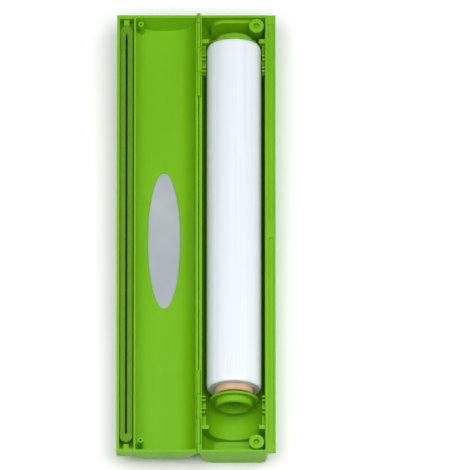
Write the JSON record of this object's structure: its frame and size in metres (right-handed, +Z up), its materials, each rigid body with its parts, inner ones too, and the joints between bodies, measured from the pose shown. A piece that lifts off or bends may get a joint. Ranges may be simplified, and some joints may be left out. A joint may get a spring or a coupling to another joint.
{
  "type": "cling film dispenser",
  "caption": "Long box dispenser for a cling film roll: deep trough hinged to a shallower lid with an oval window and a sprung guard over a hidden serrated blade.",
  "frame": {"origin": "centre of the flat underside of the base, half way along its length", "axes": "+X from the hinge towards the front lip of the base, +Y along the length towards the far end, +Z up"},
  "size_m": [0.1302, 0.3884, 0.0485],
  "materials": {
    "body_plastic": "satin moulded",
    "cutter_plastic": "satin moulded",
    "window_plastic": "frosted",
    "grip_rubber": "matt",
    "blade_steel": "blackened",
    "pin_steel": "drawn",
    "spring_steel": "drawn",
    "core_cardboard": "spiral wound",
    "film": "smooth wound film"
  },
  "bodies": {
    "base": {"base_shell": "body_plastic", "cradle_far": "body_plastic", "cradle_near": "body_plastic", "hinge_pin_far": "pin_steel", "hinge_pin_near": "pin_steel"},
    "lid": {"lid_shell": "body_plastic", "window_pane": "window_plastic", "blade_rail": "cutter_plastic", "blade": "blade_steel", "blade_screws": "pin_steel", "guard_spring_far": "spring_steel", "guard_spring_near": "spring_steel"},
    "guard": {"guard_bar": "cutter_plastic", "grip_strip_front": "grip_rubber", "grip_strip_rear": "grip_rubber"},
    "roll": {"core_tube": "core_cardboard", "film_wrap": "film", "plug_far": "body_plastic", "plug_near": "body_plastic"}
  },
  "joints": [
    {"name": "lid_hinge", "type": "hinge", "parent": "base", "child": "lid", "pos_m": [-0.03125, 0, 0.032], "axis": [0, 1, 0], "range_deg": [0, 180]},
    {"name": "guard_slide", "type": "slide", "parent": "lid", "child": "guard", "axis": [0, 0, -1], "range_m": [0, 0.0044], "stiffness_N_per_m": 900, "springref_m": -0.002, "deforming": ["guard_spring_far", "guard_spring_near"]},
    {"name": "roll_spin", "type": "hinge", "parent": "base", "child": "roll", "pos_m": [-0.00235, 0, 0.026], "axis": [0, 1, 0], "continuous": true}
  ]
}
